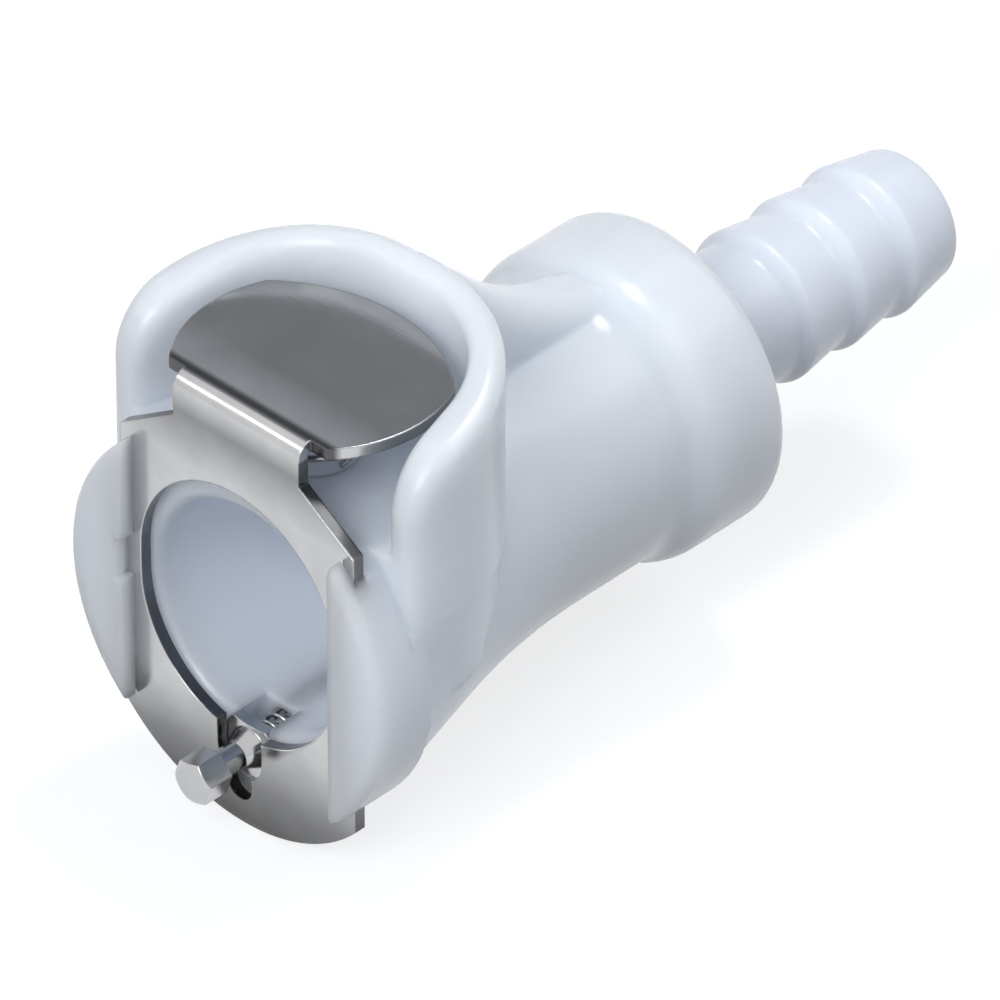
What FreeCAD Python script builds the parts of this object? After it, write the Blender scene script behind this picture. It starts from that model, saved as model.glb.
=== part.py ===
"""Female half of a plastic quick disconnect coupling, in line, with a hose barb.

Frame, in millimetres: the Y axis is the axis of the bore, and it points from the mouth to
the hose. Z is up, to the thumb tab. The origin is on the axis where the straight wall of the
bore begins, just behind the lead-in at its mouth.
"""
import FreeCAD, Part
import math
import os
import Sketcher
from FreeCAD import Placement, Rotation, Vector

doc = FreeCAD.newDocument("coupling")

# Driving dimensions, in millimetres and degrees
SIZES = [
    # Bore and passage of the housing
    ("bore_radius", 7.8),
    ("bore_depth", 12.5),
    ("lead_in_length", 0.8),
    ("lead_in_rise", 0.6),
    ("throat_radius", 5.0),
    ("throat_length", 2.0),
    ("seat_length", 1.6),
    ("chamber_radius", 6.6),
    ("cap_radius", 8.05),
    ("cap_depth", 4.0),
    # Outside of the housing
    ("disc_radius", 13.0),
    ("disc_length", 4.7),
    ("disc_edge", 0.6),
    ("flare_radius", 12.6),
    ("flare_bend", 5.83),
    ("waist_radius", 9.45),
    ("waist_start", 20.0),
    ("barrel_step", 1.0),
    ("barrel_start", 26.0),
    ("barrel_blend", 3.0),
    ("barrel_end", 34.9),
    ("barrel_edge", 1.0),
    # Guard round the thumb tab
    ("guard_side_wall", 3.2),
    ("guard_front", 0.3),
    ("guard_back_wall", 2.2),
    ("guard_corner", 11.4),
    ("guard_root", 5.0),
    ("guard_foot", 7.0),
    ("guard_foot_draft", 6.5),
    ("guard_tip_wall", 2.25),
    ("guard_knee", 4.5),
    ("guard_slope", 11.6),
    ("guard_top", 19.1),
    ("rim_round", 1.0),
    ("recess_floor", 9.6),
    ("recess_corner", 7.5),
    ("tab_gap", 0.8),
    # Ridge from the guard down to the barrel
    ("ridge_half_width", 2.3),
    ("ridge_top", 18.4),
    ("ridge_angle", 44.0),
    ("ridge_tail_angle", 16.0),
    ("ridge_arc", 16.0),
    ("ridge_end", 26.5),
    ("ridge_round", 1.7),
    # Latch, cut and bent from sheet
    ("sheet", 0.8),
    ("plate_gap", 0.1),
    ("side_gap", 0.1),
    ("rail_depth", 1.15),
    ("rail_lip", 1.1),
    ("rail_notch_depth", 0.45),
    ("rail_notch_low", -0.6),
    ("rail_notch_high", 2.4),
    ("plate_half_width", 9.7),
    ("plate_arc", 13.0),
    ("plate_arc_drop", 1.55),
    ("shoulder_low", 10.1),
    ("shoulder_high", 13.05),
    ("neck_half_width", 5.2),
    ("bend_inside", 0.25),
    ("tab_top", 16.0),
    ("tab_radius", 8.65),
    ("tab_centre", 5.0),
    ("tab_back", 11.8),
    ("tab_back_arc", 11.5),
    ("hole_gap", 0.3),
    ("hole_rise", 1.75),
    # Latch pin
    ("pin_drop", 9.5),
    ("key_radius", 1.85),
    ("key_slot", 2.0),
    ("key_bottom", 12.9),
    ("pin_travel", 2.0),
    ("pin_neck_radius", 0.9),
    ("pin_neck_length", 1.8),
    ("pin_cone_length", 1.1),
    ("pin_collar_radius", 1.4),
    ("pin_flange_radius", 2.15),
    ("pin_flange_length", 0.8),
    ("pin_head_flats", 2.7),
    ("pin_head_length", 2.0),
    ("pin_head_chamfer", 0.12),
    ("pin_head_turn", 12.0),
    ("pin_tail_radius", 0.55),
    ("pin_tail_length", 3.8),
    ("pin_pocket_radius", 1.2),
    ("pin_pocket_depth", 6.3),
    ("pin_gap", 0.1),
    # Springs
    ("latch_spring_radius", 2.3),
    ("latch_spring_wire", 0.45),
    ("latch_spring_turns", 5.0),
    ("latch_spring_place", 5.0),
    ("spring_seat_depth", 0.4),
    ("pin_spring_radius", 1.05),
    ("pin_spring_wire", 0.25),
    ("pin_spring_turns", 8.0),
    ("valve_spring_radius", 4.7),
    ("valve_spring_wire", 0.7),
    ("valve_spring_turns", 5.0),
    ("spring_gap", 0.02),
    # Valve
    ("nose_radius", 3.1),
    ("nose_recess", 0.1),
    ("nose_chamfer", 0.4),
    ("fin_count", 4.0),
    ("fin_gap", 0.15),
    ("fin_thickness", 1.0),
    ("head_gap", 0.5),
    ("head_length", 1.4),
    ("seal_section", 0.7),
    ("seal_gap", 0.03),
    ("seal_play", 0.05),
    ("stem_radius", 1.25),
    ("stem_gap", 0.06),
    ("stem_past_hub", 0.5),
    # Hose barb
    ("cap_gap", 0.05),
    ("cap_recess", 0.2),
    ("spigot_length", 3.0),
    ("spigot_gap", 0.1),
    ("tube_bore", 3.2),
    ("tube_radius", 4.65),
    ("barb_radius", 5.2),
    ("barb_first", 42.9),
    ("barb_pitch", 4.65),
    ("barb_count", 3.0),
    ("barb_rise", 0.9),
    ("barb_round", 0.9),
    ("tip_radius", 4.5),
    ("tip_end", 56.6),
    ("tip_round", 0.6),
    ("hub_radius", 2.2),
    ("hub_length", 2.0),
    ("hub_arms", 3.0),
    ("hub_arm_width", 1.0),
]

sheet = doc.addObject("Spreadsheet::Sheet", "Sizes")
for row, (alias, value) in enumerate(SIZES, start=1):
    sheet.set(f"A{row}", alias)
    sheet.set(f"B{row}", repr(value))
    sheet.setAlias(f"B{row}", alias)
doc.recompute()


def size(alias):
    """The number that the sheet holds for one alias."""
    return float(getattr(sheet, alias))


def bind(obj, **expressions):
    """Ties properties of an object to cells; names in the expressions are aliases."""
    for name, text in expressions.items():
        words = text.replace("(", " ( ").replace(")", " ) ").split()
        linked = [f"Sizes.{word}" if hasattr(sheet, word) else word for word in words]
        obj.setExpression(name, " ".join(linked))


# Places along Y that several pieces share
slot_back = -size("lead_in_length")
plate_back = slot_back - size("plate_gap")
plate_front = plate_back - size("sheet")
slot_front = plate_front - size("plate_gap")
disc_front = slot_front - size("rail_depth")
disc_back = disc_front + size("disc_length")
throat_start = size("bore_depth")
seat_start = throat_start + size("throat_length")
chamber_start = seat_start + size("seat_length")
cap_start = size("barrel_end") - size("cap_depth")
spigot_start = cap_start - size("spigot_length")
pin_axis = -size("pin_drop")
tab_under = size("tab_top") - size("sheet")
rail_edge = size("plate_half_width") + size("side_gap") - size("rail_lip")
barrel_radius = size("waist_radius") + size("barrel_step")
guard_half = size("tab_radius") + size("tab_gap") + size("guard_side_wall")
guard_back = size("tab_back") + size("tab_gap") + size("guard_back_wall")
flange_front = plate_back + size("pin_gap") / 2
flange_back = flange_front + size("pin_flange_length")


# Sketch helpers

def plane_of(body, role):
    """One of a body's own origin planes."""
    return next(f for f in body.Origin.OriginFeatures if f.Role == role)


def new_sketch(owner, name, role, height=0.0):
    """A sketch on a body's plane, or a free one laid on the same plane."""
    if owner is None:
        sketch = doc.addObject("Sketcher::SketchObject", name)
        turn = {
            "XY_Plane": Rotation(),
            "XZ_Plane": Rotation(Vector(1, 0, 0), 90),
            "YZ_Plane": Rotation(Vector(1, 1, 1), 120),
        }[role]
        sketch.Placement = Placement(turn.multVec(Vector(0, 0, height)), turn)
    else:
        sketch = owner.newObject("Sketcher::SketchObject", name)
        sketch.AttachmentSupport = [(plane_of(owner, role), "")]
        sketch.MapMode = "FlatFace"
        sketch.AttachmentOffset = Placement(Vector(0, 0, height), Rotation())
    return sketch


def draw(sketch, start, *steps):
    """Draws a closed outline and fixes it.

    A step is the next corner, or ("arc", centre, end, "left" or "right") for a round stretch
    that turns that way.
    """
    here = Vector(start[0], start[1], 0)
    curves = []
    for step in steps:
        if step[0] == "arc":
            _, centre, end, side = step
            centre = Vector(centre[0], centre[1], 0)
            end = Vector(end[0], end[1], 0)
            radius = (here - centre).Length
            first, last = (here, end) if side == "left" else (end, here)
            angles = [math.atan2(p.y - centre.y, p.x - centre.x) for p in (first, last)]
            circle = Part.Circle(centre, Vector(0, 0, 1), radius)
            curves.append(Part.ArcOfCircle(circle, angles[0], angles[1]))
        else:
            end = Vector(step[0], step[1], 0)
            curves.append(Part.LineSegment(here, end))
        here = end
    if (here - Vector(start[0], start[1], 0)).Length > 1e-9:
        curves.append(Part.LineSegment(here, Vector(start[0], start[1], 0)))
    first_index = sketch.GeometryCount
    sketch.addGeometry(curves)
    for index in range(first_index, sketch.GeometryCount):
        sketch.addConstraint(Sketcher.Constraint("Block", index))


def softened(points, radius):
    """Steps through a run of corners, with each corner inside the run rounded."""
    steps = []
    for before, corner, after in zip(points, points[1:], points[2:]):
        corner = Vector(corner[0], corner[1], 0)
        arriving = (corner - Vector(before[0], before[1], 0)).normalize()
        leaving = (Vector(after[0], after[1], 0) - corner).normalize()
        left = arriving.cross(leaving).z > 0
        inward = Vector(-arriving.y, arriving.x, 0) * (1 if left else -1)
        trim = radius * math.tan(arriving.getAngle(leaving) / 2)
        first = corner - arriving * trim
        last = corner + leaving * trim
        centre = first + inward * radius
        steps.append((first.x, first.y))
        steps.append(("arc", (centre.x, centre.y), (last.x, last.y), "left" if left else "right"))
    return steps


def circle(sketch, centre, radius_alias, extra=""):
    """A circle whose radius is bound to a cell."""
    index = sketch.addGeometry(Part.Circle(Vector(centre[0], centre[1], 0), Vector(0, 0, 1), 1))
    sketch.addConstraint(Sketcher.Constraint("DistanceX", -1, 1, index, 3, centre[0]))
    sketch.addConstraint(Sketcher.Constraint("DistanceY", -1, 1, index, 3, centre[1]))
    datum = sketch.addConstraint(Sketcher.Constraint("Radius", index, 1))
    sketch.setExpression(f"Constraints[{datum}]", f"Sizes.{radius_alias} {extra}".strip())


# Solids that serve as blanks or cutters

def block(name, low, high):
    """A box between two corners."""
    box = doc.addObject("Part::Box", name)
    box.Length, box.Width, box.Height = [high[i] - low[i] for i in range(3)]
    box.Placement = Placement(Vector(*low), Rotation())
    return box


def rod(name, radius_text, start, end, x=0.0, z=0.0):
    """A round bar along Y whose radius is bound to a cell."""
    bar = doc.addObject("Part::Cylinder", name)
    bind(bar, Radius=radius_text)
    bar.Height = end - start
    bar.Placement = Placement(Vector(x, start, z), Rotation(Vector(1, 0, 0), -90))
    return bar


def turned(name, start, *steps):
    """An outline in the YZ plane, turned round the Y axis."""
    sketch = new_sketch(None, name + "_profile", "YZ_Plane")
    draw(sketch, start, *steps)
    solid = doc.addObject("Part::Revolution", name)
    solid.Source = sketch
    solid.Axis = (0, 1, 0)
    solid.Base = (0, 0, 0)
    solid.Angle = 360
    solid.Solid = True
    return solid


def raised(name, sketch, direction, length, symmetric=False):
    """A sketch pushed out to a solid."""
    solid = doc.addObject("Part::Extrusion", name)
    solid.Base = sketch
    solid.DirMode = "Custom"
    solid.Dir = direction
    solid.LengthFwd = length
    solid.Symmetric = symmetric
    solid.Solid = True
    return solid


def cut(name, base, tool):
    result = doc.addObject("Part::Cut", name)
    result.Base = base
    result.Tool = tool
    return result


def fuse(name, *shapes):
    result = doc.addObject("Part::MultiFuse", name)
    result.Shapes = list(shapes)
    result.Refine = True
    return result


def rounded(name, base, radius, wanted):
    """Fillets the edges of a solid that a test picks out."""
    doc.recompute()
    picked = [(i + 1, radius, radius) for i, e in enumerate(base.Shape.Edges) if wanted(e)]
    if not picked:
        raise RuntimeError(f"{name}: no edge to round")
    result = doc.addObject("Part::Fillet", name)
    result.Base = base
    result.Edges = picked
    return result


def edge_points(edge, count=5):
    """Points spread along an edge."""
    low, high = edge.ParameterRange
    return [edge.valueAt(low + (high - low) * i / (count - 1)) for i in range(count)]


# Housing: the turned outside

flare_corner = size("waist_start") - size("flare_bend")
flare_turn = math.atan2(size("flare_radius") - size("waist_radius"), flare_corner - disc_back)
flare_arc = size("flare_bend") / math.tan(flare_turn / 2)
flare_centre = (size("waist_start"), size("waist_radius") + flare_arc)
flare_touch = (
    flare_corner - size("flare_bend") * math.cos(flare_turn),
    size("waist_radius") + size("flare_bend") * math.sin(flare_turn),
)
blend_turn = math.acos(1 - size("barrel_step") / (2 * size("barrel_blend")))
blend_half = size("barrel_blend") * math.sin(blend_turn)
blend_middle = (size("barrel_start") + blend_half, size("waist_radius") + size("barrel_step") / 2)
blend_end = size("barrel_start") + 2 * blend_half

housing_outside = turned(
    "housing_outside",
    (disc_front, 0),
    (disc_front, size("disc_radius") - size("disc_edge")),
    ("arc", (disc_front + size("disc_edge"), size("disc_radius") - size("disc_edge")),
     (disc_front + size("disc_edge"), size("disc_radius")), "right"),
    (disc_back - size("disc_edge") / 2, size("disc_radius")),
    ("arc", (disc_back - size("disc_edge") / 2, size("disc_radius") - size("disc_edge") / 2),
     (disc_back, size("disc_radius") - size("disc_edge") / 2), "right"),
    (disc_back, size("flare_radius")),
    flare_touch,
    ("arc", flare_centre, (size("waist_start"), size("waist_radius")), "left"),
    (size("barrel_start"), size("waist_radius")),
    ("arc", (size("barrel_start"), size("waist_radius") + size("barrel_blend")),
     blend_middle, "left"),
    ("arc", (blend_end, barrel_radius - size("barrel_blend")),
     (blend_end, barrel_radius), "right"),
    (size("barrel_end") - size("barrel_edge"), barrel_radius),
    ("arc", (size("barrel_end") - size("barrel_edge"), barrel_radius - size("barrel_edge")),
     (size("barrel_end"), barrel_radius - size("barrel_edge")), "right"),
    (size("barrel_end"), 0),
)

# Housing: the passage, turned as one cutter

past = 2.0
lip = (size("lead_in_length") ** 2 + size("lead_in_rise") ** 2) / (2 * size("lead_in_rise"))
housing_passage = turned(
    "housing_passage",
    (slot_back - past, 0),
    (slot_back - past, size("bore_radius") + size("lead_in_rise")),
    (slot_back, size("bore_radius") + size("lead_in_rise")),
    ("arc", (0, size("bore_radius") + lip), (0, size("bore_radius")), "left"),
    (throat_start, size("bore_radius")),
    (throat_start, size("throat_radius")),
    (seat_start, size("throat_radius")),
    (chamber_start, size("chamber_radius")),
    (cap_start, size("chamber_radius")),
    (cap_start, size("cap_radius")),
    (size("barrel_end") + past, size("cap_radius")),
    (size("barrel_end") + past, 0),
)

# Housing: the guard, a wall that bends round the back of the thumb tab


def guard_outline(sketch):
    """The outside of the guard in plan."""
    half = guard_half
    corner = min(size("guard_corner"), half - 0.5)
    flat = half - corner
    turn = guard_back - corner
    draw(
        sketch,
        (-half, size("guard_front")),
        (half, size("guard_front")),
        (half, turn),
        ("arc", (flat, turn), (flat, guard_back), "left"),
        (-flat, guard_back),
        ("arc", (-flat, turn), (-half, turn), "left"),
    )


def recess_outline(sketch, front):
    """The recess in plan: it follows the tab at a gap and opens to the front."""
    corner = size("recess_corner")
    back = size("tab_back") + size("tab_gap")
    centre = (size("tab_radius") + size("tab_gap") - corner, back - corner)
    mouth = (guard_half - size("guard_tip_wall"), size("guard_front"))
    sight = math.atan2(mouth[1] - centre[1], mouth[0] - centre[0])
    turn = sight + math.acos(corner / math.dist(mouth, centre))
    touch = (centre[0] + corner * math.cos(turn), centre[1] + corner * math.sin(turn))
    draw(
        sketch,
        (-mouth[0], front),
        (mouth[0], front),
        mouth,
        touch,
        ("arc", centre, (centre[0], back), "left"),
        (-centre[0], back),
        ("arc", (-centre[0], centre[1]), (-touch[0], touch[1]), "left"),
        (-mouth[0], mouth[1]),
    )


guard_plan = new_sketch(None, "guard_plan", "XY_Plane", size("guard_root"))
guard_outline(guard_plan)
guard_block = raised("guard_block", guard_plan, (0, 0, 1), 30.0)

recess_plan = new_sketch(None, "recess_plan", "XY_Plane", size("recess_floor"))
recess_outline(recess_plan, disc_front - past)
recess_cutter = raised("recess_cutter", recess_plan, (0, 0, 1), 30.0)

rim_slope = math.radians(size("guard_slope"))
knee = size("guard_knee")
knee_y = size("guard_front") + knee
knee_z = (size("guard_top") + math.tan(rim_slope) * (knee_y - guard_back)
          - knee / math.cos(rim_slope))
knee_end = (knee_y - knee * math.sin(rim_slope), knee_z + knee * math.cos(rim_slope))
rim_profile = new_sketch(None, "rim_profile", "YZ_Plane")
draw(
    rim_profile,
    (size("guard_front") - past, knee_z),
    (size("guard_front"), knee_z),
    ("arc", (knee_y, knee_z), knee_end, "right"),
    (guard_back, size("guard_top")),
    (guard_back + past, size("guard_top")),
    (guard_back + past, 40.0),
    (size("guard_front") - past, 40.0),
)
rim_cutter = raised("rim_cutter", rim_profile, (1, 0, 0), 40.0, symmetric=True)
guard_trimmed = cut("guard_trimmed", guard_block, rim_cutter)
guard_wall = cut("guard_wall", guard_trimmed, recess_cutter)


def rim_height(y):
    """Height of the rim's crest before it is rounded."""
    if y < knee_end[0]:
        return knee_z + math.sqrt(max(knee ** 2 - (knee_y - y) ** 2, 0))
    return size("guard_top") + math.tan(rim_slope) * (y - guard_back)


def on_rim(edge):
    """True for the long edges of the rim and the upright edges of the two noses."""
    points = edge_points(edge)
    if all(abs(p.y - size("guard_front")) < 1e-4 for p in points):
        return abs(points[0].z - points[-1].z) > 1e-4 and points[-1].z > size("guard_root")
    on_crest = all(abs(p.z - rim_height(p.y)) < 1e-4 for p in points)
    crosses_wall = abs(points[0].y - points[-1].y) < 1e-4 and abs(points[0].x) > 5
    return on_crest and not crosses_wall


thinnest = min(size("guard_tip_wall"), size("guard_back_wall"), size("guard_side_wall"))
rim_round = min(size("rim_round"), 0.48 * thinnest)
guard = rounded("guard", guard_wall, rim_round, on_rim)

foot_plan = new_sketch(None, "foot_plan", "XY_Plane", size("guard_root"))
guard_outline(foot_plan)
guard_foot = raised("guard_foot", foot_plan, (0, 0, -1), 1.0)
guard_foot.TaperAngle = -size("guard_foot_draft")
bind(guard_foot, LengthFwd="guard_foot")

# Housing: the ridge, two straight slopes joined by a hollow curve

first_slope = math.radians(size("ridge_angle"))
last_slope = math.radians(size("ridge_tail_angle"))
meet_y = (
    size("ridge_top") - barrel_radius
    + guard_back * math.tan(first_slope) - size("ridge_end") * math.tan(last_slope)
) / (math.tan(first_slope) - math.tan(last_slope))
meet_z = size("ridge_top") - (meet_y - guard_back) * math.tan(first_slope)
trim = size("ridge_arc") * math.tan((first_slope - last_slope) / 2)
arc_start = (meet_y - trim * math.cos(first_slope), meet_z + trim * math.sin(first_slope))
arc_end = (meet_y + trim * math.cos(last_slope), meet_z - trim * math.sin(last_slope))
arc_centre = (
    arc_start[0] + size("ridge_arc") * math.sin(first_slope),
    arc_start[1] + size("ridge_arc") * math.cos(first_slope),
)
ridge_in = guard_back - rim_round
ridge_floor = size("chamber_radius") + 1.0
ridge_tail = barrel_radius - (blend_end - size("ridge_end")) * math.tan(last_slope)
ridge_profile = new_sketch(None, "ridge_profile", "YZ_Plane")
draw(
    ridge_profile,
    (ridge_in, size("ridge_top")),
    (ridge_in, ridge_floor),
    (blend_end, ridge_floor),
    (blend_end, ridge_tail),
    arc_end,
    ("arc", arc_centre, arc_start, "right"),
    (guard_back, size("ridge_top")),
)
ridge_blank = raised("ridge_blank", ridge_profile, (1, 0, 0), 1.0, symmetric=True)
bind(ridge_blank, LengthFwd="2 * ridge_half_width")


def on_ridge(edge):
    """True for the two long edges along the ridge's top."""
    points = edge_points(edge)
    along = all(abs(abs(p.x) - size("ridge_half_width")) < 1e-4 for p in points)
    high = all(p.z > ridge_floor + 1e-4 for p in points)
    upright = abs(points[0].y - points[-1].y) < 1e-4
    return along and high and not upright


ridge = rounded("ridge", ridge_blank, size("ridge_round"), on_ridge)

# Housing: slot for the latch plate, the opening between the rails, and the small holes

wide = size("disc_radius") + past
slot_half = size("plate_half_width") + size("side_gap")
slot_cutter = block("slot_cutter", (-slot_half, slot_front, -wide), (slot_half, slot_back, wide))
rail_cutter = block(
    "rail_cutter", (-rail_edge, disc_front - past, -wide), (rail_edge, slot_front + 0.1, wide)
)
rail_notch = block(
    "rail_notch",
    (-rail_edge - size("rail_notch_depth"), disc_front - past, size("rail_notch_low")),
    (-rail_edge + 0.1, slot_front + 0.1, size("rail_notch_high")),
)
flange_room = flange_back + size("pin_travel") + size("pin_gap")
pocket_end = flange_room + size("pin_pocket_depth") - 1.0
flange_hole = rod("flange_hole", "pin_flange_radius + pin_gap", slot_back - 0.1, flange_room,
                  z=pin_axis)
pin_pocket = rod("pin_pocket", "pin_pocket_radius", slot_back - 0.1, pocket_end, z=pin_axis)
spring_seat = doc.addObject("Part::Cylinder", "spring_seat")
bind(spring_seat, Radius="latch_spring_radius + 0.3", Height="spring_seat_depth + 1")
spring_seat.Placement = Placement(
    Vector(0, size("latch_spring_place"), size("recess_floor") - size("spring_seat_depth")),
    Rotation(),
)

housing_blank = fuse("housing_blank", housing_outside, guard, guard_foot, ridge)

housing_cutters = fuse(
    "housing_cutters", housing_passage, recess_cutter, slot_cutter, rail_cutter, rail_notch,
    flange_hole, pin_pocket, spring_seat,
)
housing = cut("housing", housing_blank, housing_cutters)

# Latch, cut from sheet and bent: a flat plate, a bend, and the thumb tab

thumb_latch = doc.addObject("PartDesign::Body", "thumb_latch")
bend_outside = size("bend_inside") + size("sheet")
bend_z = size("tab_top") - bend_outside
bend_y = plate_front + bend_outside

plate_sketch = new_sketch(thumb_latch, "plate_outline", "XZ_Plane", -plate_back)
half, neck = size("plate_half_width"), size("neck_half_width")
arc_z = -size("plate_arc_drop")
foot = arc_z - math.sqrt(size("plate_arc") ** 2 - half ** 2)
draw(
    plate_sketch,
    (neck, bend_z),
    (-neck, bend_z),
    (-neck, size("shoulder_high")),
    (-half, size("shoulder_low")),
    (-half, foot),
    ("arc", (0, arc_z), (half, foot), "left"),
    (half, size("shoulder_low")),
    (neck, size("shoulder_high")),
)
plate = thumb_latch.newObject("PartDesign::Pad", "plate")
plate.Profile = plate_sketch
bind(plate, Length="sheet")

hole_sketch = new_sketch(thumb_latch, "plate_hole", "XZ_Plane", -plate_back)
hole = size("bore_radius") + size("hole_gap")
key, slot = size("key_radius"), size("key_slot") / 2
key_join = pin_axis - math.sqrt(key ** 2 - slot ** 2)
mouth_z = -math.sqrt(hole ** 2 - key ** 2)
draw(
    hole_sketch,
    (hole, 0),
    (hole, size("hole_rise")),
    ("arc", (0, size("hole_rise")), (-hole, size("hole_rise")), "left"),
    (-hole, 0),
    ("arc", (0, 0), (-key, mouth_z), "left"),
    (-key, pin_axis),
    ("arc", (0, pin_axis), (-slot, key_join), "left"),
    (-slot, -size("key_bottom") + slot),
    ("arc", (0, -size("key_bottom") + slot), (slot, -size("key_bottom") + slot), "left"),
    (slot, key_join),
    ("arc", (0, pin_axis), (key, pin_axis), "left"),
    (key, mouth_z),
    ("arc", (0, 0), (hole, 0), "left"),
)
plate_hole = thumb_latch.newObject("PartDesign::Pocket", "keyed_hole")
plate_hole.Profile = hole_sketch
plate_hole.Type = "ThroughAll"
plate_hole.Midplane = True

bend_sketch = new_sketch(thumb_latch, "bend_section", "YZ_Plane")
draw(
    bend_sketch,
    (plate_front, bend_z),
    (plate_back, bend_z),
    ("arc", (bend_y, bend_z), (bend_y, tab_under), "right"),
    (bend_y, size("tab_top")),
    ("arc", (bend_y, bend_z), (plate_front, bend_z), "left"),
)
bend = thumb_latch.newObject("PartDesign::Pad", "bend")
bend.Profile = bend_sketch
bend.Midplane = True
bind(bend, Length="2 * neck_half_width")

tab_sketch = new_sketch(thumb_latch, "tab_outline", "XY_Plane", tab_under)
radius, centre = size("tab_radius"), size("tab_centre")
back_centre = size("tab_back") - size("tab_back_arc")
corner_y = (
    radius ** 2 - size("tab_back_arc") ** 2 + back_centre ** 2 - centre ** 2
) / (2 * (back_centre - centre))
corner_x = math.sqrt(radius ** 2 - (corner_y - centre) ** 2)
front_x = math.sqrt(radius ** 2 - (bend_y - centre) ** 2)
draw(
    tab_sketch,
    (-front_x, bend_y),
    (front_x, bend_y),
    ("arc", (0, centre), (corner_x, corner_y), "left"),
    ("arc", (0, back_centre), (-corner_x, corner_y), "left"),
    ("arc", (0, centre), (-front_x, bend_y), "left"),
)
tab = thumb_latch.newObject("PartDesign::Pad", "tab")
tab.Profile = tab_sketch
bind(tab, Length="sheet")

# Latch pin: a turned pin with a hexagonal head

latch_pin = doc.addObject("PartDesign::Body", "latch_pin")
cone_front = plate_back - size("pin_cone_length")
neck_front = cone_front - size("pin_neck_length")
head_front = neck_front - size("pin_head_length")
tail_end = flange_back + size("pin_tail_length")
pin_sketch = new_sketch(latch_pin, "pin_profile", "YZ_Plane")
draw(
    pin_sketch,
    (neck_front - 0.5, 0),
    (neck_front - 0.5, size("pin_neck_radius")),
    (cone_front, size("pin_neck_radius")),
    (plate_back, size("pin_collar_radius")),
    (flange_front, size("pin_collar_radius")),
    (flange_front, size("pin_flange_radius")),
    (flange_back, size("pin_flange_radius")),
    (flange_back, size("pin_tail_radius")),
    (tail_end, size("pin_tail_radius")),
    (tail_end, 0),
)
pin_shaft = latch_pin.newObject("PartDesign::Revolution", "pin_shaft")
pin_shaft.Profile = pin_sketch
pin_shaft.ReferenceAxis = (pin_sketch, ["H_Axis"])
pin_shaft.Angle = 360

hex_sketch = new_sketch(latch_pin, "head_outline", "XZ_Plane", -neck_front)
across = size("pin_head_flats") / math.sqrt(3)
turns = [math.radians(60 * i + size("pin_head_turn")) for i in range(6)]
draw(hex_sketch, *[(across * math.cos(t), across * math.sin(t)) for t in turns])
pin_head = latch_pin.newObject("PartDesign::Pad", "pin_head")
pin_head.Profile = hex_sketch
bind(pin_head, Length="pin_head_length")

cap_sketch = new_sketch(latch_pin, "head_corners", "YZ_Plane")
face_radius = size("pin_head_flats") / 2 - size("pin_head_chamfer")
corner_radius = across + 0.3
draw(
    cap_sketch,
    (head_front - 0.1, face_radius),
    (head_front, face_radius),
    (head_front + (corner_radius - face_radius) * 0.58, corner_radius),
    (head_front - 0.1, corner_radius),
)
head_corners = latch_pin.newObject("PartDesign::Groove", "round_cap")
head_corners.Profile = cap_sketch
head_corners.ReferenceAxis = (cap_sketch, ["H_Axis"])
head_corners.Angle = 360

hollow_sketch = new_sketch(latch_pin, "bore_circle", "XZ_Plane", 0)
circle(hollow_sketch, (0, size("pin_drop")), "bore_radius", "+ Sizes.pin_gap")
flange_hollow = latch_pin.newObject("PartDesign::Pocket", "flange_hollow")
flange_hollow.Profile = hollow_sketch
flange_hollow.Type = "ThroughAll"
flange_hollow.Midplane = True
latch_pin.Tip = flange_hollow
latch_pin.Placement = Placement(Vector(0, 0, pin_axis), Rotation())

# Valve poppet: a finned nose, a head with a groove for its seal, and a stem

valve_poppet = doc.addObject("PartDesign::Body", "valve_poppet")
seal_y = chamber_start
seal_radius = size("chamber_radius") - math.sqrt(2) * (size("seal_section") + size("seal_gap"))
groove_half = size("seal_section") + size("seal_play")
groove_bottom = seal_radius - size("seal_section") - size("seal_gap")
nose_front = throat_start + size("nose_recess")
lip_front = seal_y - groove_half - 0.5
head_back = seal_y + groove_half + size("head_length")
head_radius = size("chamber_radius") - size("head_gap")
stem_end = spigot_start + size("hub_length") + size("stem_past_hub")
poppet_sketch = new_sketch(valve_poppet, "poppet_profile", "YZ_Plane")
draw(
    poppet_sketch,
    (nose_front, 0),
    (nose_front, size("nose_radius") - size("nose_chamfer")),
    (nose_front + size("nose_chamfer"), size("nose_radius")),
    (lip_front, size("nose_radius")),
    (lip_front, groove_bottom + 0.1),
    (seal_y - groove_half, groove_bottom + 0.3),
    (seal_y - groove_half, groove_bottom),
    (seal_y + groove_half, groove_bottom),
    (seal_y + groove_half, head_radius),
    (head_back, head_radius),
    (head_back, size("stem_radius")),
    (stem_end, size("stem_radius")),
    (stem_end, 0),
)
poppet_turned = valve_poppet.newObject("PartDesign::Revolution", "poppet_turned")
poppet_turned.Profile = poppet_sketch
poppet_turned.ReferenceAxis = (poppet_sketch, ["H_Axis"])
poppet_turned.Angle = 360

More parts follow.
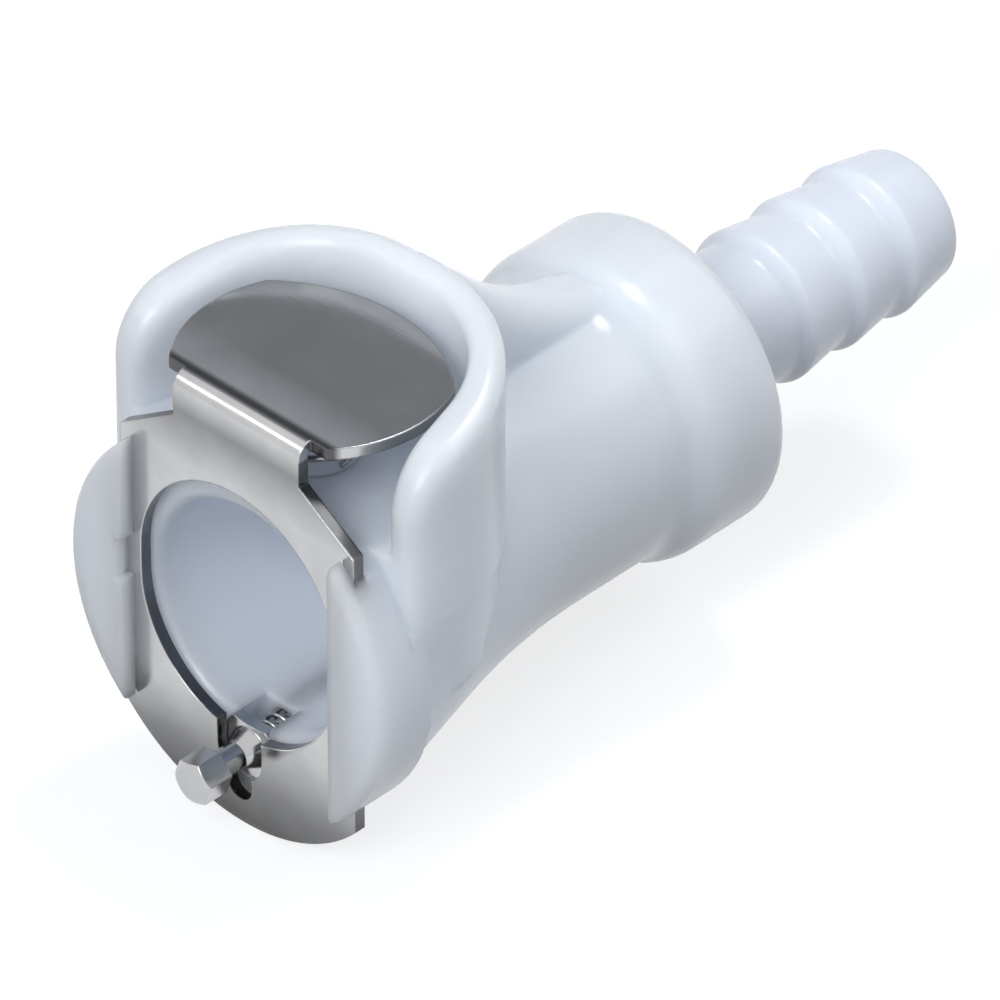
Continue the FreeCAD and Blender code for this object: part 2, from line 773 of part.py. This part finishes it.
fin_sketch = new_sketch(valve_poppet, "fin_outline", "YZ_Plane")
fin_tip = size("throat_radius") - size("fin_gap")
draw(
    fin_sketch,
    (nose_front + size("nose_chamfer"), 1.0),
    (lip_front + 0.1, 1.0),
    (lip_front + 0.1, groove_bottom),
    (seat_start, fin_tip),
    (nose_front + 2 * size("nose_chamfer"), fin_tip),
    (nose_front + size("nose_chamfer"), fin_tip - size("nose_chamfer")),
)
fin = valve_poppet.newObject("PartDesign::Pad", "fin")
fin.Profile = fin_sketch
fin.Midplane = True
bind(fin, Length="fin_thickness")
fins = valve_poppet.newObject("PartDesign::PolarPattern", "fins")
fins.Originals = [fin]
fins.Axis = (plane_of(valve_poppet, "Y_Axis"), [""])
fins.Angle = 360
bind(fins, Occurrences="fin_count")
valve_poppet.Tip = fins

# Hose barb: a cap pressed into the barrel, a spigot with a stem guide, and the barbed tube

hose_barb = doc.addObject("PartDesign::Body", "hose_barb")
spigot_radius = size("chamber_radius") - size("spigot_gap")
spigot_bore = size("valve_spring_radius") - size("valve_spring_wire")
groove_depth = 2 * (size("seal_section") + size("seal_gap")) - size("spigot_gap")
groove_start = spigot_start + 0.8
groove_end = groove_start + 2 * (size("seal_section") + 2 * size("seal_play"))
funnel_start = spigot_start + size("hub_length") + 0.6
funnel_end = funnel_start + 2 * (spigot_bore - size("tube_bore"))
cap_radius = size("cap_radius") - size("cap_gap")
cap_back = size("barrel_end") - size("cap_recess")

outside = [
    (spigot_start, spigot_radius),
    (groove_start, spigot_radius),
    (groove_start, spigot_radius - groove_depth),
    (groove_end, spigot_radius - groove_depth),
    (groove_end, spigot_radius),
    (cap_start, spigot_radius),
    (cap_start, cap_radius),
    (cap_back, cap_radius),
]
tip_round = size("tip_round")
tube = [(cap_back, size("tube_radius"))]
for ring in range(int(size("barb_count"))):
    peak = size("barb_first") + ring * size("barb_pitch")
    tube.append((peak - size("barb_rise"), size("tube_radius")))
    tube.append((peak, size("barb_radius")))
tube.append((size("tip_end") - tip_round, size("tip_radius")))
barb_sketch = new_sketch(hose_barb, "barb_profile", "YZ_Plane")
draw(
    barb_sketch,
    *outside,
    tube[0],
    *softened(tube, size("barb_round")),
    tube[-1],
    ("arc", (size("tip_end") - tip_round, size("tip_radius") - tip_round),
     (size("tip_end"), size("tip_radius") - tip_round), "right"),
    (size("tip_end"), size("tube_bore")),
    (funnel_end, size("tube_bore")),
    (funnel_start, spigot_bore),
    (spigot_start, spigot_bore),
)
barb_turned = hose_barb.newObject("PartDesign::Revolution", "barb_turned")
barb_turned.Profile = barb_sketch
barb_turned.ReferenceAxis = (barb_sketch, ["H_Axis"])
barb_turned.Angle = 360

hub_sketch = new_sketch(hose_barb, "hub_outline", "XZ_Plane", -spigot_start)
circle(hub_sketch, (0, 0), "hub_radius")
circle(hub_sketch, (0, 0), "stem_radius", "+ Sizes.stem_gap")
hub = hose_barb.newObject("PartDesign::Pad", "hub")
hub.Profile = hub_sketch
hub.Reversed = True
hub.Refine = False
bind(hub, Length="hub_length")

arm_sketch = new_sketch(hose_barb, "arm_outline", "XZ_Plane", -spigot_start)
arm_half = size("hub_arm_width") / 2
draw(
    arm_sketch,
    (-arm_half, size("hub_radius") - 0.2),
    (arm_half, size("hub_radius") - 0.2),
    (arm_half, spigot_bore + 0.3),
    (-arm_half, spigot_bore + 0.3),
)
arm = hose_barb.newObject("PartDesign::Pad", "arm")
arm.Profile = arm_sketch
arm.Reversed = True
bind(arm, Length="hub_length")
arms = hose_barb.newObject("PartDesign::PolarPattern", "arms")
arms.Originals = [arm]
arms.Axis = (plane_of(hose_barb, "Y_Axis"), [""])
arms.Angle = 360
bind(arms, Occurrences="hub_arms")
hose_barb.Tip = arms

# Seals


def ring_seal(name, y, major):
    """An O-ring round the Y axis."""
    seal = doc.addObject("Part::Torus", name)
    bind(seal, Radius2="seal_section")
    seal.Radius1 = major
    seal.Placement = Placement(Vector(0, y, 0), Rotation(Vector(1, 0, 0), -90))
    return seal


valve_seal = ring_seal("valve_seal", seal_y, seal_radius)
barb_seal = ring_seal(
    "barb_seal",
    (groove_start + groove_end) / 2,
    size("chamber_radius") - size("seal_section") - size("seal_gap"),
)

# Springs


def coil(name, start, end, rotation, outer, wire, turns):
    """A coil spring whose ends stop just short of its two seats.

    The round wire is drawn with six sides, which keeps its mesh light.
    """
    path = doc.addObject("Part::Helix", name + "_path")
    bind(path, Radius=f"{outer} - {wire} / 2")
    length = (end - start).Length - size(wire) - 2 * size("spring_gap")
    path.Height = length
    path.Pitch = length / size(turns)
    path.Placement = Placement(
        start + rotation.multVec(Vector(0, 0, size(wire) / 2 + size("spring_gap"))), rotation
    )
    section = doc.addObject("Part::RegularPolygon", name + "_section")
    section.Polygon = 6
    bind(section, Circumradius=f"{wire} / 2")
    lean = math.degrees(math.atan2(path.Pitch.Value, 2 * math.pi * path.Radius.Value))
    section.Placement = path.Placement * Placement(
        Vector(size(outer) - size(wire) / 2, 0, 0), Rotation(Vector(1, 0, 0), 90 + lean)
    )
    spring = doc.addObject("Part::Sweep", name)
    spring.Sections = [section]
    spring.Spine = (path, ["Edge1"])
    spring.Solid = True
    spring.Frenet = True
    return spring


upward = Rotation()
backward = Rotation(Vector(1, 0, 0), -90)
latch_spring = coil(
    "latch_spring",
    Vector(0, size("latch_spring_place"), size("recess_floor") - size("spring_seat_depth")),
    Vector(0, size("latch_spring_place"), tab_under),
    upward, "latch_spring_radius", "latch_spring_wire", "latch_spring_turns",
)
pin_spring = coil(
    "pin_spring", Vector(0, flange_back, pin_axis), Vector(0, pocket_end, pin_axis),
    backward, "pin_spring_radius", "pin_spring_wire", "pin_spring_turns",
)
valve_spring = coil(
    "valve_spring", Vector(0, head_back, 0), Vector(0, spigot_start, 0),
    backward, "valve_spring_radius", "valve_spring_wire", "valve_spring_turns",
)

# Every piece, checked and written

doc.recompute()
pieces = [
    housing, thumb_latch, latch_spring, latch_pin, pin_spring, hose_barb, barb_seal,
    valve_poppet, valve_seal, valve_spring,
]
for obj in doc.Objects:
    if "Invalid" in obj.State or "Error" in obj.State:
        raise RuntimeError(f"{obj.Name} failed: {obj.State}")
os.makedirs("parts", exist_ok=True)
for piece in pieces:
    piece.Label = piece.Name
    shape = piece.Shape
    if shape.isNull() or not shape.isValid() or len(shape.Solids) != 1:
        raise RuntimeError(f"{piece.Label} isn't one valid solid")
    shape.exportStep(os.path.join("parts", piece.Label + ".step"))
    print(f"{piece.Label}: {shape.Volume:.1f} mm3")
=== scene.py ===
"""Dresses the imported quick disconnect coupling: finishes, real coil springs, a camera and light."""

import math

import bpy
from mathutils import Matrix, Vector


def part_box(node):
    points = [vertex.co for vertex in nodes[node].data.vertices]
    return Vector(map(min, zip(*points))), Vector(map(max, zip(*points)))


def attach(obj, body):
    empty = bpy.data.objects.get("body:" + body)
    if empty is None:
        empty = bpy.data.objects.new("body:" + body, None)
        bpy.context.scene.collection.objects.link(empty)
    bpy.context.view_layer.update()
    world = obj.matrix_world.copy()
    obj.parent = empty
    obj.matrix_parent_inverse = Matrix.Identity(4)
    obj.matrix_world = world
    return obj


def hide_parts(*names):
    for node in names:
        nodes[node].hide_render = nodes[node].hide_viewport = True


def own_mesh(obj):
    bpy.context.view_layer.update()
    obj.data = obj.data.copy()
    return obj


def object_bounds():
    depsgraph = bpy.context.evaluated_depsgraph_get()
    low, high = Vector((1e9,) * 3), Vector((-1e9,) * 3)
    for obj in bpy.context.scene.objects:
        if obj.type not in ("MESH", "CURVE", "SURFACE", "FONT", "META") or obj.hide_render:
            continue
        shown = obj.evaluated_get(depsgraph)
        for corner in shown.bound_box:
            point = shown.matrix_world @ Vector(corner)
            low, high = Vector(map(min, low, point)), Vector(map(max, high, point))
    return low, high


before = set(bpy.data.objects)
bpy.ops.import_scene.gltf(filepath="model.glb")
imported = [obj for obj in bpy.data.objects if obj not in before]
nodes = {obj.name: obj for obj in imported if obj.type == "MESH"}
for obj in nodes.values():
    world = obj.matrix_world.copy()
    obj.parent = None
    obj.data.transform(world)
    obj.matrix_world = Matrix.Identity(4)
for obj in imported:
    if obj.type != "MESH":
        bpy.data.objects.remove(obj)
cad_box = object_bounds()

MM = 0.001
WHITE = (1, 1, 1, 1)

# Camera, placed as the photograph was taken

TARGET = Vector((0, 18.3, 0)) * MM
AZIMUTH = 44.2
ELEVATION = 37.1
DISTANCE = 833 * MM
SENSOR_WIDTH = 36
FOCAL_LENGTH = 499.6
SHIFT = (0.0267, -0.0189)
FARTHEST_SEEN = 10


def view_direction(azimuth, elevation):
    """From the target towards a place that many degrees round from the front, and that high."""
    around = math.radians(azimuth)
    up = math.radians(elevation)
    return Vector((
        math.sin(around) * math.cos(up),
        -math.cos(around) * math.cos(up),
        math.sin(up),
    ))


def aim(obj, direction, distance):
    """Puts a camera or a lamp that far out from the target, looking back at it."""
    obj.location = TARGET + direction * distance
    obj.rotation_euler = direction.to_track_quat("Z", "Y").to_euler()
    bpy.context.scene.collection.objects.link(obj)


def set_camera():
    """The camera that sees the object as the photograph does."""
    data = bpy.data.cameras.new("camera")
    data.lens = FOCAL_LENGTH
    data.sensor_width = SENSOR_WIDTH
    data.shift_x, data.shift_y = SHIFT
    data.clip_end = FARTHEST_SEEN
    camera = bpy.data.objects.new("camera", data)
    aim(camera, view_direction(AZIMUTH, ELEVATION), DISTANCE)
    bpy.context.scene.camera = camera


set_camera()

# Nodes that the finishes are made of

MIX_FACTOR, MIX_FIRST, MIX_SECOND = 0, 6, 7
MIX_COLOUR = 2


def add_node(tree, kind, settings=None, numbered=None, **named):
    """A node with its settings and inputs.

    An input goes to its socket by number, or by name with underscores for spaces. It is a plain
    value or another node's output.
    """
    node = tree.nodes.new(kind)
    for name, value in (settings or {}).items():
        setattr(node, name, value)
    inputs = dict(numbered or {})
    inputs.update((name.replace("_", " "), value) for name, value in named.items())
    for socket, value in inputs.items():
        if isinstance(value, bpy.types.NodeSocket):
            tree.links.new(value, node.inputs[socket])
        else:
            node.inputs[socket].default_value = value
    return node


def maths(tree, operation, *values):
    """What a Math node makes of one to three values or outputs."""
    node = add_node(tree, "ShaderNodeMath", {"operation": operation}, dict(enumerate(values)))
    return node.outputs[0]


def mix_colours(tree, factor, first, second, blend="MIX"):
    """A colour between two, or one laid over the other by another blend."""
    node = add_node(tree, "ShaderNodeMix", {"data_type": "RGBA", "blend_type": blend},
                    {MIX_FACTOR: factor, MIX_FIRST: first, MIX_SECOND: second})
    return node.outputs[MIX_COLOUR]


def noise(tree, place, scale, **settings):
    """Soft random unevenness, from 0 to 1."""
    node = add_node(tree, "ShaderNodeTexNoise", Vector=place, Scale=scale, **settings)
    return node.outputs["Fac"]


def parts_of(tree, vector):
    """The X, Y and Z of a vector, as the outputs of one node."""
    return add_node(tree, "ShaderNodeSeparateXYZ", Vector=vector).outputs


def greys(tree, value, stops):
    """A grey that follows a value through the given stops, lowest first."""
    low, high = stops[0][0], stops[-1][0]
    share = add_node(tree, "ShaderNodeMapRange", Value=value, From_Min=low, From_Max=high)
    node = add_node(tree, "ShaderNodeValToRGB", Fac=share.outputs["Result"])
    elements = node.color_ramp.elements
    for place, _ in stops[1:-1]:
        elements.new((place - low) / (high - low))
    for element, (_, grey) in zip(elements, stops):
        element.color = (grey, grey, grey, 1)
    return node.outputs["Color"]


# Finishes that several materials share

FINISH_INPUTS = {
    "Coordinates": "NodeSocketVector",
    "Colour": "NodeSocketColor",
    "Shade": "NodeSocketColor",
    "Roughness": "NodeSocketFloat",
    "Roughness Spread": "NodeSocketFloat",
    "Relief": "NodeSocketFloat",
    "Edge Round": "NodeSocketFloat",
}
FINISH_OUTPUTS = {
    "Colour": "NodeSocketColor",
    "Roughness": "NodeSocketFloat",
    "Normal": "NodeSocketVector",
}
EDGE_SAMPLES = 6


def start_finish(name, own_inputs):
    """A finish's empty group, with the sockets that every finish has and its own."""
    group = bpy.data.node_groups.new(name, "ShaderNodeTree")
    for socket, kind in {**FINISH_INPUTS, **own_inputs}.items():
        group.interface.new_socket(socket, in_out="INPUT", socket_type=kind)
    for socket, kind in FINISH_OUTPUTS.items():
        group.interface.new_socket(socket, in_out="OUTPUT", socket_type=kind)
    return group, group.nodes.new("NodeGroupInput").outputs


def end_finish(group, given, tone, unevenness, relief, relief_height):
    """Two tones of colour, uneven gloss, and relief on softened edges, led to the outputs."""
    rounded = add_node(group, "ShaderNodeBevel", {"samples": EDGE_SAMPLES},
                       Radius=given["Edge Round"])
    bump = add_node(group, "ShaderNodeBump", Strength=given["Relief"], Distance=relief_height,
                    Height=relief, Normal=rounded.outputs["Normal"])
    add_node(
        group, "NodeGroupOutput",
        Colour=mix_colours(group, tone, given["Colour"], given["Shade"]),
        Roughness=maths(group, "MULTIPLY_ADD", unevenness, given["Roughness Spread"],
                        given["Roughness"]),
        Normal=bump.outputs["Normal"],
    )


def make_moulded_skin():
    """Skin of a moulded plastic piece: faint waves, a fine grain and uneven gloss."""
    grain_size = 4200.0
    grain_share = 0.05
    group, given = start_finish("moulded_skin", {"Wave Size": "NodeSocketFloat"})
    wave = noise(group, given["Coordinates"], given["Wave Size"], Detail=2.0)
    grain = noise(group, given["Coordinates"], grain_size, Detail=3.0)
    end_finish(
        group, given,
        tone=wave,
        unevenness=maths(group, "SUBTRACT", wave, 0.5),
        relief=maths(group, "MULTIPLY_ADD", grain, grain_share, wave),
        relief_height=0.2 * MM,
    )
    return group


def make_rolled_metal():
    """Rolled or turned metal: fine lines along one way, soft clouds in the gloss."""
    cloud_size = 260.0
    group, given = start_finish("rolled_metal", {"Stretch": "NodeSocketVector"})
    stretched = add_node(group, "ShaderNodeVectorMath", {"operation": "MULTIPLY"},
                         {0: given["Coordinates"], 1: given["Stretch"]})
    lines = noise(group, stretched.outputs["Vector"], 1.0, Detail=4.0, Roughness=0.6)
    clouds = noise(group, given["Coordinates"], cloud_size, Detail=3.0)
    both = maths(group, "ADD", lines, clouds)
    end_finish(
        group, given,
        tone=clouds,
        unevenness=maths(group, "SUBTRACT", both, 1.0),
        relief=lines,
        relief_height=0.05 * MM,
    )
    return group


MOULDED_SKIN = make_moulded_skin()
ROLLED_METAL = make_rolled_metal()

# Materials


def finish(name, group, values, **principled):
    """A material whose colour, gloss and relief come from a shared finish."""
    material = bpy.data.materials.new(name)
    material.use_nodes = True
    tree = material.node_tree
    shader = tree.nodes["Principled BSDF"]
    coordinates = add_node(tree, "ShaderNodeTexCoord")
    skin = add_node(tree, "ShaderNodeGroup", {"node_tree": group, "name": "skin"},
                    Coordinates=coordinates.outputs["Object"])
    for socket, value in values.items():
        skin.inputs[socket].default_value = value
    tree.links.new(skin.outputs["Colour"], shader.inputs["Base Color"])
    tree.links.new(skin.outputs["Roughness"], shader.inputs["Roughness"])
    tree.links.new(skin.outputs["Normal"], shader.inputs["Normal"])
    for socket, value in principled.items():
        shader.inputs[socket.replace("_", " ")].default_value = value
    return material


ACETAL_IOR = 1.48
EVEN_SCATTER = (1.0, 1.0, 1.0)

WHITE_ACETAL = finish(
    "white_acetal", MOULDED_SKIN,
    {"Colour": (0.82, 0.865, 0.95, 1), "Shade": (0.79, 0.835, 0.93, 1), "Roughness": 0.22,
     "Roughness Spread": 0.08, "Relief": 0.05, "Edge Round": 0.7 * MM, "Wave Size": 220.0},
    IOR=ACETAL_IOR, Subsurface_Weight=1.0, Subsurface_Radius=EVEN_SCATTER,
    Subsurface_Scale=6 * MM,
)
BARB_ACETAL = finish(
    "barb_acetal", MOULDED_SKIN,
    {"Colour": (0.79, 0.825, 0.90, 1), "Shade": (0.76, 0.795, 0.875, 1), "Roughness": 0.26,
     "Roughness Spread": 0.08, "Relief": 0.02, "Edge Round": 0.05 * MM, "Wave Size": 320.0},
    IOR=ACETAL_IOR, Subsurface_Weight=0.6, Subsurface_Radius=EVEN_SCATTER,
    Subsurface_Scale=3 * MM,
)
SATIN_SHEET = finish(
    "satin_sheet", ROLLED_METAL,
    {"Colour": (0.68, 0.68, 0.685, 1), "Shade": (0.46, 0.46, 0.465, 1), "Roughness": 0.17,
     "Roughness Spread": 0.14, "Relief": 0.1, "Edge Round": 0.18 * MM,
     "Stretch": (300.0, 9000.0, 9000.0)},
    Metallic=1.0,
)
TURNED_STEEL = finish(
    "turned_steel", ROLLED_METAL,
    {"Colour": (0.58, 0.58, 0.58, 1), "Shade": (0.44, 0.44, 0.45, 1), "Roughness": 0.16,
     "Roughness Spread": 0.1, "Relief": 0.08, "Edge Round": 0.1 * MM,
     "Stretch": (2500.0, 14000.0, 2500.0)},
    Metallic=1.0,
)
SPRING_WIRE = finish(
    "spring_wire", ROLLED_METAL,
    {"Colour": (0.60, 0.60, 0.61, 1), "Shade": (0.48, 0.48, 0.49, 1), "Roughness": 0.2,
     "Roughness Spread": 0.1, "Relief": 0.05, "Edge Round": 0.1 * MM,
     "Stretch": (4000.0, 4000.0, 4000.0)},
    Metallic=1.0,
)
SEAL_RUBBER = finish(
    "seal_rubber", MOULDED_SKIN,
    {"Colour": (0.018, 0.018, 0.02, 1), "Shade": (0.012, 0.012, 0.013, 1), "Roughness": 0.42,
     "Roughness Spread": 0.1, "Relief": 0.1, "Edge Round": 0.5 * MM, "Wave Size": 900.0},
)

# Painted on the latch: darker cut edges, painted shade down the plate, and a painted reflection
# across the tab with a dark line behind the bend

LATCH_LOW, LATCH_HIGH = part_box("thumb_latch")
TAB_TOP = LATCH_HIGH[2]
PLATE_FRONT = LATCH_LOW[1]

# Millimetres below the tab's top between which the plate turns into the tab
BEND_FROM = 1.4
BEND_TO = 1.0

# How far a face looks along Y, from 0 on the sheared edges to 1 on the sheet, and the grey there
SHEARED_TONES = ((0.45, 0.35), (0.6, 1.0))

# Painted shade down the plate: millimetres below the tab's top, from the plate's foot upwards, and
# the grey there
PLATE_PAINTED_SHADE = ((30.0, 0.2), (27.0, 0.4), (22.5, 0.98), (6.0, 0.93), (2.4, 0.45), (0.75, 0.95))

# Painted reflection across the tab: millimetres behind the plate's front, from the bend backwards,
# and the grey there
TAB_PAINTED_REFLECTION = ((0.74, 1.0), (1.04, 0.2), (1.34, 0.2), (1.76, 1.0), (2.42, 0.95), (4.7, 0.64))


def darken_cut_edges_and_paint_shade(material):
    """Darkens a sheet's colour at its cut edges, paints shade towards its foot and in a band below
    the bend, and paints a reflection across the tab with a dark line behind the bend.
    """
    tree = material.node_tree
    coordinates = add_node(tree, "ShaderNodeTexCoord")
    geometry = add_node(tree, "ShaderNodeNewGeometry")
    place = parts_of(tree, coordinates.outputs["Object"])
    facing = parts_of(tree, geometry.outputs["True Normal"])
    on_tab = add_node(tree, "ShaderNodeMapRange", Value=place["Z"],
                      From_Min=TAB_TOP - BEND_FROM * MM,
                      From_Max=TAB_TOP - BEND_TO * MM).outputs["Result"]
    on_sheet = maths(tree, "MAXIMUM", maths(tree, "ABSOLUTE", facing["Y"]), on_tab)
    sheared = greys(tree, on_sheet, SHEARED_TONES)
    # Painted shade: the plate darker towards its foot and in a band just below the bend
    painted_plate_shade = greys(tree, place["Z"],
                       [(TAB_TOP - below * MM, grey) for below, grey in PLATE_PAINTED_SHADE])
    # Painted reflection across the tab: bright on the bend, a dark line just behind it, bright again,
    # then darker towards the back
    painted_tab_reflection = greys(tree, place["Y"],
                      [(PLATE_FRONT + behind * MM, grey) for behind, grey in TAB_PAINTED_REFLECTION])
    colour = tree.nodes["skin"].outputs["Colour"]
    # The darker cut edges, the painted shade and the painted reflection, multiplied into the colour
    for mask in (sheared, painted_plate_shade, mix_colours(tree, on_tab, WHITE, painted_tab_reflection)):
        colour = mix_colours(tree, 1.0, colour, mask, "MULTIPLY")
    tree.links.new(colour, tree.nodes["Principled BSDF"].inputs["Base Color"])


# Painted shade and painted reflection on the latch's sheet, and its cut edges darkened
darken_cut_edges_and_paint_shade(SATIN_SHEET)


def paint(obj, material):
    """Gives a piece one material all over."""
    obj.data.materials.clear()
    obj.data.materials.append(material)


for node, material in {
    "housing": WHITE_ACETAL,
    "hose_barb": BARB_ACETAL,
    "valve_poppet": BARB_ACETAL,
    "thumb_latch": SATIN_SHEET,
    "latch_pin": TURNED_STEEL,
    "valve_seal": SEAL_RUBBER,
    "barb_seal": SEAL_RUBBER,
}.items():
    paint(nodes[node], material)

# Coil springs, in place of the CAD model's plain ones

WIRE_SIDES = 14
STEPS_PER_TURN = 40
SMOOTH_BELOW = 40


def deselect():
    """Leaves edit mode with nothing selected."""
    if bpy.context.mode != "OBJECT":
        bpy.ops.object.mode_set(mode="OBJECT")
    bpy.ops.object.select_all(action="DESELECT")


def coil(name, radius, wire, turns, length):
    """A coil of round wire round the Z axis, standing on Z = 0 with its ends capped."""
    deselect()
    bpy.ops.mesh.primitive_circle_add(
        vertices=WIRE_SIDES, radius=wire / 2, fill_type="NOTHING",
        location=(radius, 0, wire / 2), rotation=(math.radians(90), 0, 0),
    )
    spring = bpy.context.active_object
    spring.name = spring.data.name = name
    bpy.ops.object.transform_apply(location=True, rotation=True, scale=True)
    screw = spring.modifiers.new("screw", "SCREW")
    screw.axis = "Z"
    screw.iterations = turns
    screw.screw_offset = (length - wire) / turns
    screw.steps = screw.render_steps = STEPS_PER_TURN
    bpy.ops.object.modifier_apply(modifier="screw")
    bpy.ops.object.mode_set(mode="EDIT")
    bpy.ops.mesh.select_mode(type="EDGE")
    bpy.ops.mesh.select_all(action="DESELECT")
    bpy.ops.mesh.select_non_manifold()
    bpy.ops.mesh.fill()
    bpy.ops.mesh.select_all(action="SELECT")
    bpy.ops.mesh.normals_make_consistent(inside=False)
    bpy.ops.object.mode_set(mode="OBJECT")
    bpy.ops.object.shade_smooth_by_angle(angle=math.radians(SMOOTH_BELOW))
    return spring


def spring_in(node, name, wire, turns, axis):
    """A coil in place of a CAD spring: the CAD box gives its place, width and length."""
    low, high = (Vector(corner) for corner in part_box(node))
    span = high - low
    middle = (low + high) / 2
    if axis == "Y":
        length, across = span.y, (span.x + span.z) / 2
        turn = Matrix.Rotation(math.radians(-90), 4, "X")
        foot = Vector((middle.x, low.y, middle.z))
    else:
        length, across = span.z, (span.x + span.y) / 2
        turn = Matrix.Identity(4)
        foot = Vector((middle.x, middle.y, low.z))
    spring = coil(name, (across - wire) / 2, wire, turns, length)
    spring.data.transform(Matrix.Translation(foot) @ turn)
    paint(spring, SPRING_WIRE)
    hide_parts(node)
    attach(spring, "body")
    return spring


def squeeze(spring):
    """Gives a coil a mesh of its own; it is not shortened here."""
    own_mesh(spring)


spring_in("latch_spring", "latch_coil", wire=0.45 * MM, turns=5, axis="Z")
pin_coil = spring_in("pin_spring", "pin_coil", wire=0.25 * MM, turns=8, axis="Y")
squeeze(pin_coil)
valve_coil = spring_in("valve_spring", "valve_coil", wire=0.7 * MM, turns=5, axis="Y")
squeeze(valve_coil)

# Floor and card

FLOOR_SIZE = 4.0
FLOOR_GAP = 0.02 * MM
FLOOR_BOUNCE = (0.25, 0.255, 0.26, 1)
FLOOR_PALE = (0.3, 0.305, 0.31, 1)
FLOOR_GLOW = 0.76
CARD_COLOUR = (0.9, 0.93, 1, 1)
CARD_GLOW = 0.47


def seen_rays(tree):
    """One where the camera, a gloss or a clear wall looks, and nothing for other light."""
    path = add_node(tree, "ShaderNodeLightPath").outputs
    gloss = maths(tree, "MAXIMUM", path["Is Glossy Ray"], path["Is Transmission Ray"])
    return maths(tree, "MAXIMUM", path["Is Camera Ray"], gloss)


def stage_material(name):
    """A material of the stage with nothing in it yet, and its tree."""
    material = bpy.data.materials.new(name)
    material.use_nodes = True
    material.node_tree.nodes.clear()
    return material, material.node_tree


def stage_plane(name, size, place, turn):
    """A square that belongs to the stage, with its place in its mesh."""
    deselect()
    bpy.ops.mesh.primitive_plane_add(size=size)
    plane = bpy.context.active_object
    plane.name = name
    plane.data.transform(Matrix.Translation(place) @ turn)
    return plane


def lay_floor():
    """A floor that looks pale, keeps the shadow and throws little light back."""
    material, tree = stage_material("floor_white")
    seen = seen_rays(tree)
    matt = add_node(tree, "ShaderNodeBsdfDiffuse",
                    Color=mix_colours(tree, seen, FLOOR_BOUNCE, FLOOR_PALE))
    glow = add_node(tree, "ShaderNodeEmission", Color=WHITE,
                    Strength=maths(tree, "MULTIPLY", seen, FLOOR_GLOW))
    both = add_node(tree, "ShaderNodeAddShader",
                    numbered={0: matt.outputs["BSDF"], 1: glow.outputs["Emission"]})
    add_node(tree, "ShaderNodeOutputMaterial", Surface=both.outputs["Shader"])
    below = Vector((0, 0, cad_box[0][2] - FLOOR_GAP))
    paint(stage_plane("floor", FLOOR_SIZE, below, Matrix.Identity(4)), material)


def hang_grey_card(direction, distance, size):
    """A grey card that shows only in gloss, so that bare metal isn't all white."""
    material, tree = stage_material("grey_card")
    light = add_node(tree, "ShaderNodeEmission", Color=CARD_COLOUR, Strength=CARD_GLOW)
    add_node(tree, "ShaderNodeOutputMaterial", Surface=light.outputs["Emission"])
    turn = direction.to_track_quat("Z", "Y").to_matrix().to_4x4()
    card = stage_plane("grey_card", size, TARGET + direction * distance, turn)
    card.visible_camera = False
    card.visible_diffuse = False
    card.visible_shadow = False
    paint(card, material)


lay_floor()

# Straight behind the object, where the flat tab's gloss looks
hang_grey_card(view_direction(AZIMUTH + 180, ELEVATION), distance=0.4, size=0.34)

# Light

COOL = (0.92, 0.95, 1.0)
PLAIN = (1, 1, 1)
DOME_COLOUR = (0.88, 0.93, 1.0, 1)
DOME_FOOT, DOME_TOP = -0.1, 1.0
FOOT_STRENGTH, TOP_STRENGTH = 0.1, 0.45


def lamp(name, azimuth, elevation, distance, size, power, colour):
    """A rectangular lamp: degrees round and up, metres away and across, and watts."""
    data = bpy.data.lights.new(name, "AREA")
    data.shape = "RECTANGLE"
    data.size, data.size_y = size
    data.energy = power
    data.color = colour
    aim(bpy.data.objects.new(name, data), view_direction(azimuth, elevation), distance)


lamp("top", 193, 66, distance=0.5, size=(0.08, 0.12), power=0.75, colour=COOL)
lamp("fill", 135, 50, distance=0.7, size=(0.5, 0.4), power=1.0, colour=COOL)
lamp("front", 16, 38, distance=0.6, size=(0.3, 0.3), power=2.2, colour=COOL)
lamp("low_front", -43, 36, distance=0.6, size=(0.16, 0.1), power=0.14, colour=PLAIN)
lamp("right", 112, 18, distance=0.6, size=(0.08, 0.12), power=0.1, colour=PLAIN)


def set_world():
    """A white backdrop, and a cool dome that is brighter overhead, for all other light."""
    world = bpy.data.worlds.new("world")
    world.use_nodes = True
    bpy.context.scene.world = world
    tree = world.node_tree
    tree.nodes.clear()
    upward = parts_of(tree, add_node(tree, "ShaderNodeTexCoord").outputs["Generated"])["Z"]
    dome = add_node(tree, "ShaderNodeMapRange", Value=upward, From_Min=DOME_FOOT,
                    From_Max=DOME_TOP, To_Min=FOOT_STRENGTH, To_Max=TOP_STRENGTH)
    ambient = add_node(tree, "ShaderNodeBackground", Color=DOME_COLOUR,
                       Strength=dome.outputs["Result"])
    white = add_node(tree, "ShaderNodeBackground", Color=WHITE, Strength=1.0)
    mix = add_node(tree, "ShaderNodeMixShader",
                   numbered={0: seen_rays(tree), 1: ambient.outputs["Background"],
                             2: white.outputs["Background"]})
    add_node(tree, "ShaderNodeOutputWorld", Surface=mix.outputs["Shader"])


set_world()
bpy.context.scene.view_settings.view_transform = "Standard"
